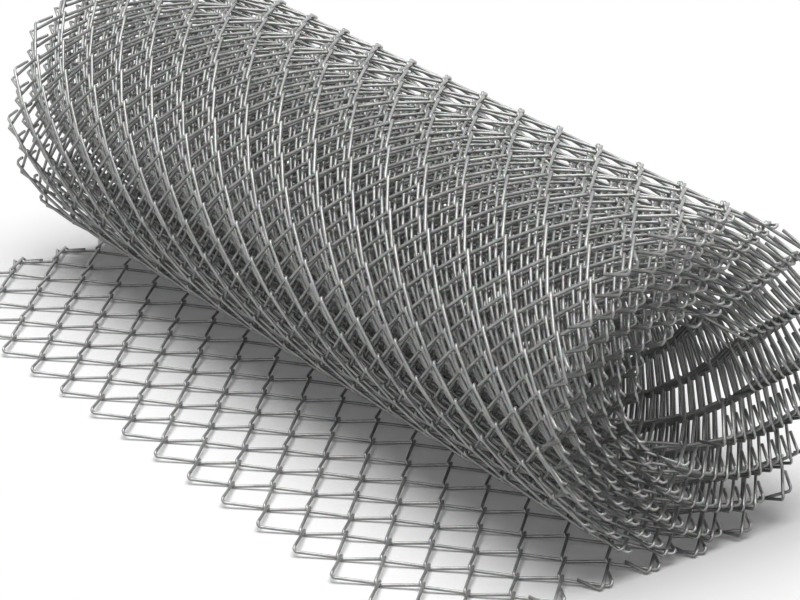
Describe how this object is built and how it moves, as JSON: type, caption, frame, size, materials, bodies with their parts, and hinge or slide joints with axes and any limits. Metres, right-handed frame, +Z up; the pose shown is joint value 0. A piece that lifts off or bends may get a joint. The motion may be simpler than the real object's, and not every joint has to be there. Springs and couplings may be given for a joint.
{
  "type": "chain link mesh roll",
  "caption": "Roll of galvanised chain link mesh with knuckled selvages, its free end laid out flat on the floor with the open diamonds of the last wire showing.",
  "frame": {"origin": "on the floor, under the middle of the whole object's box", "axes": "+X along the roll and its wires, +Y along the fabric from the free edge towards the roll, +Z up"},
  "size_m": [1.204, 0.58, 0.409],
  "materials": {
    "galvanised_wire": "hot-dip galvanised, satin grey"
  },
  "bodies": {
    "root": {"free_edge_wire": "galvanised_wire", "flat_run": "galvanised_wire", "turn_01_back": "galvanised_wire", "turn_01_front": "galvanised_wire", "turn_02_back": "galvanised_wire", "turn_02_front": "galvanised_wire", "turn_03_back": "galvanised_wire", "turn_03_front": "galvanised_wire", "turn_04_back": "galvanised_wire", "turn_04_front": "galvanised_wire", "turn_05_back": "galvanised_wire", "turn_05_front": "galvanised_wire", "turn_06_back": "galvanised_wire", "turn_06_front": "galvanised_wire", "turn_07_back": "galvanised_wire", "turn_07_front": "galvanised_wire", "turn_08_back": "galvanised_wire", "turn_08_front": "galvanised_wire", "turn_09_back": "galvanised_wire", "turn_09_front": "galvanised_wire", "turn_10_back": "galvanised_wire", "turn_10_front": "galvanised_wire", "turn_11_back": "galvanised_wire", "turn_11_front": "galvanised_wire", "turn_12_back": "galvanised_wire", "core_edge_wire": "galvanised_wire"}
  },
  "joints": []
}
